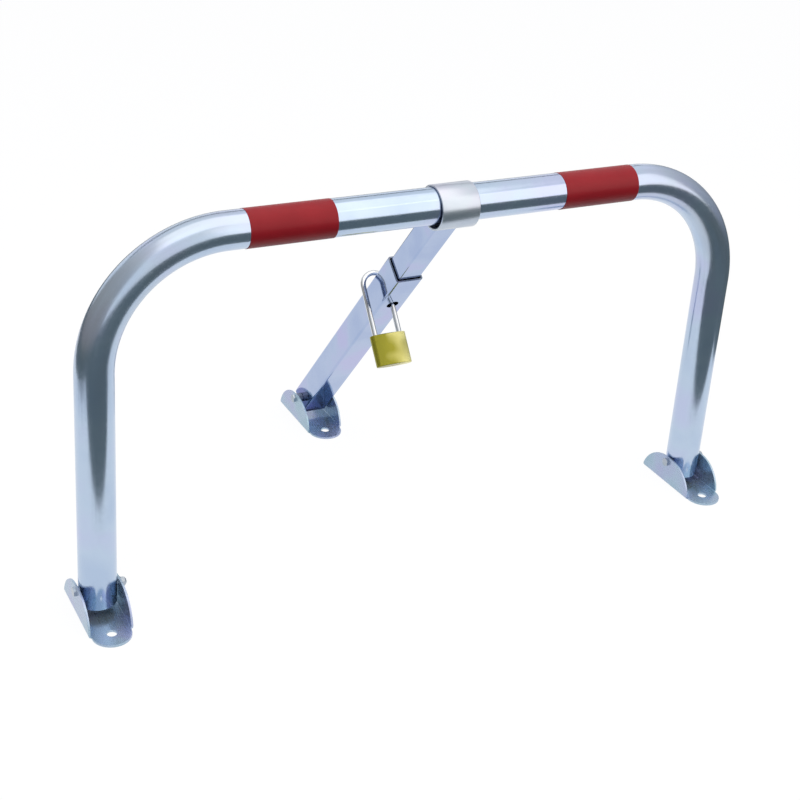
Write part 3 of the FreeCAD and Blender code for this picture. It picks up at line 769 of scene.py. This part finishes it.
def pivot_bolt(side):
    """Make a bolt, and return its middle and the width across its flats."""
    low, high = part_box(f"{side}_pivot_bolt")
    axis, flats = (low + high) / 2, high.y - low.y
    mesh = bmesh.new()
    under = hexagon_ring(mesh, axis, low.x + HEAD_HEIGHT, flats)
    ring = next_ring(mesh, under, axis, low.x)
    push_back(ring, axis, flats, 1)
    for reach in HEAD_FACE:
        ring = next_ring(mesh, ring, axis, low.x, flats * reach)
    bmesh.ops.edgeloop_fill(mesh, edges=ring)
    ring = next_ring(mesh, under, axis, low.x + HEAD_HEIGHT, BOLT_RADIUS)
    ring = next_ring(mesh, ring, axis, high.x - THREADS * THREAD_PITCH, BOLT_RADIUS)
    for turn_number in range(THREADS):
        thread_x = high.x - (THREADS - turn_number) * THREAD_PITCH
        ring = next_ring(mesh, ring, axis, thread_x + THREAD_PITCH / 2, BOLT_RADIUS - THREAD_DEPTH)
        crest = BOLT_RADIUS if turn_number < THREADS - 1 else BOLT_RADIUS - THREAD_DEPTH
        ring = next_ring(mesh, ring, axis, thread_x + THREAD_PITCH, crest)
    bmesh.ops.edgeloop_fill(mesh, edges=ring)
    bmesh.ops.recalc_face_normals(mesh, faces=mesh.faces)
    piece(f"{side}_pivot_bolt_plated", mesh, bolt_zinc, "ground_feet",
          f"{side}_pivot_bolt")
    return axis, flats


# %% Lock nut
NUT_CROWN = 1.3 * MM
# Rings of the crown: depth in crown heights, and radius in widths across the flats, as for the seat.
CROWN = ((1.0, 0.48), (0.5, 0.46), (0.0, 0.4))
SEAT = 0.47


def lock_nut(side, axis, flats):
    """Make a nut on a bolt's axis: a coned hexagon, a domed crown and a bore."""
    low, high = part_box(f"{side}_lock_nut")
    mesh = bmesh.new()
    seat = hexagon_ring(mesh, axis, low.x, flats)
    ring = next_ring(mesh, seat, axis, high.x - NUT_CROWN)
    push_back(ring, axis, flats, -1)
    push_back(seat, axis, flats, 1)
    for depth, reach in CROWN:
        ring = next_ring(mesh, ring, axis, high.x - NUT_CROWN * depth, flats * reach)
    crown = next_ring(mesh, ring, axis, high.x, BOLT_RADIUS)
    ring = next_ring(mesh, seat, axis, low.x, flats * SEAT)
    bore = next_ring(mesh, ring, axis, low.x, BOLT_RADIUS)
    bmesh.ops.bridge_loops(mesh, edges=crown + bore)
    bmesh.ops.recalc_face_normals(mesh, faces=mesh.faces)
    piece(f"{side}_lock_nut_plated", mesh, bolt_zinc, "ground_feet",
          f"{side}_lock_nut")


# %% All three pivots
for side in ("left", "right", "rear"):
    lock_nut(side, *pivot_bolt(side))

# %% [markdown]
# ## Folded, sawn and turned pieces
# The feet, the strut's two tubes, the washers and the padlock have the right shape already, but their edges
# are knife sharp, and no real edge is. A copy of each node is merged, its flat faces are joined, and the
# sharp edges get a small bevel that catches the light. A Bevel modifier would round them all. Picking the
# edges here leaves those on the ground sharp, where a rounding would only open a gap.

# %% Softened edges
SHARP = math.radians(35)
GROUND = 0.05 * MM
FLAT = math.radians(0.5)


def softened(node, name, material, body, edge_mm, crowded_mm=0.15):
    """Stand a copy of a node in its place, with its sharp edges rounded.

    Edges on the ground stay sharp. So do edges at a crowded corner, one that has a shorter edge than
    crowded_mm, because a bevel would fold over there.
    """
    mesh = bmesh.new()
    mesh.from_mesh(nodes[node].data)
    bmesh.ops.remove_doubles(mesh, verts=mesh.verts, dist=MERGE)
    bmesh.ops.dissolve_limit(mesh, angle_limit=FLAT, verts=mesh.verts, edges=mesh.edges)
    short = [edge for edge in mesh.edges if edge.calc_length() < crowded_mm * MM]
    crowded = {corner for edge in short for corner in edge.verts}
    edges = [edge for edge in mesh.edges if edge.is_manifold and edge.calc_face_angle() > SHARP
             and crowded.isdisjoint(edge.verts) and min(corner.co.z for corner in edge.verts) > GROUND]
    bmesh.ops.bevel(mesh, geom=edges, offset=edge_mm * MM, offset_type="OFFSET", segments=2, profile=0.5,
                    affect="EDGES", material=-1, clamp_overlap=False)
    thing = piece(name, mesh, material, body, node)
    even = thing.modifiers.new("even_shading", "WEIGHTED_NORMAL")
    even.keep_sharp = True
    return thing


# %% Feet, washers and spacers
for side in ("left", "right", "rear"):
    softened(f"{side}_foot_bracket", f"{side}_folded_foot", sheet_zinc, "ground_feet",
             0.45)
    softened(f"{side}_pivot_washer", f"{side}_pivot_washer_plated", bolt_zinc, "ground_feet",
             0.2)
for side in ("left", "right"):
    # The rear spacers take the dark zinc, painted shade for the gap between the ears and the strut.
    softened(f"rear_{side}_spacer", f"rear_{side}_spacer_sleeve", shade_dark_zinc, "ground_feet",
             0.3)

# %% Strut
SAWN_END = math.cos(math.radians(50))
softened("upper_strut_tube", "upper_strut_slider", strut_zinc, "upper_strut", 0.2,
         crowded_mm=0.1)
sleeve = softened("lower_strut_tube", "lower_strut_sleeve", strut_zinc, "lower_strut",
                  0.2)
# The sleeve's sawn end faces take the dark zinc, painted shade that keeps its rim's gap dark.
sleeve.data.materials.append(shade_dark_zinc)
for face in sleeve.data.polygons:
    face.material_index = int(face.normal.dot(strut_direction) > SAWN_END)

# %% Padlock
softened("padlock_shackle", "shackle_bar", shackle_chrome, "lower_strut", 0.3)
softened("padlock_body", "padlock_block", body_brass, "padlock", 0.25)
softened("padlock_key_plug", "key_plug_barrel", plug_brass, "key_plug", 0.2)
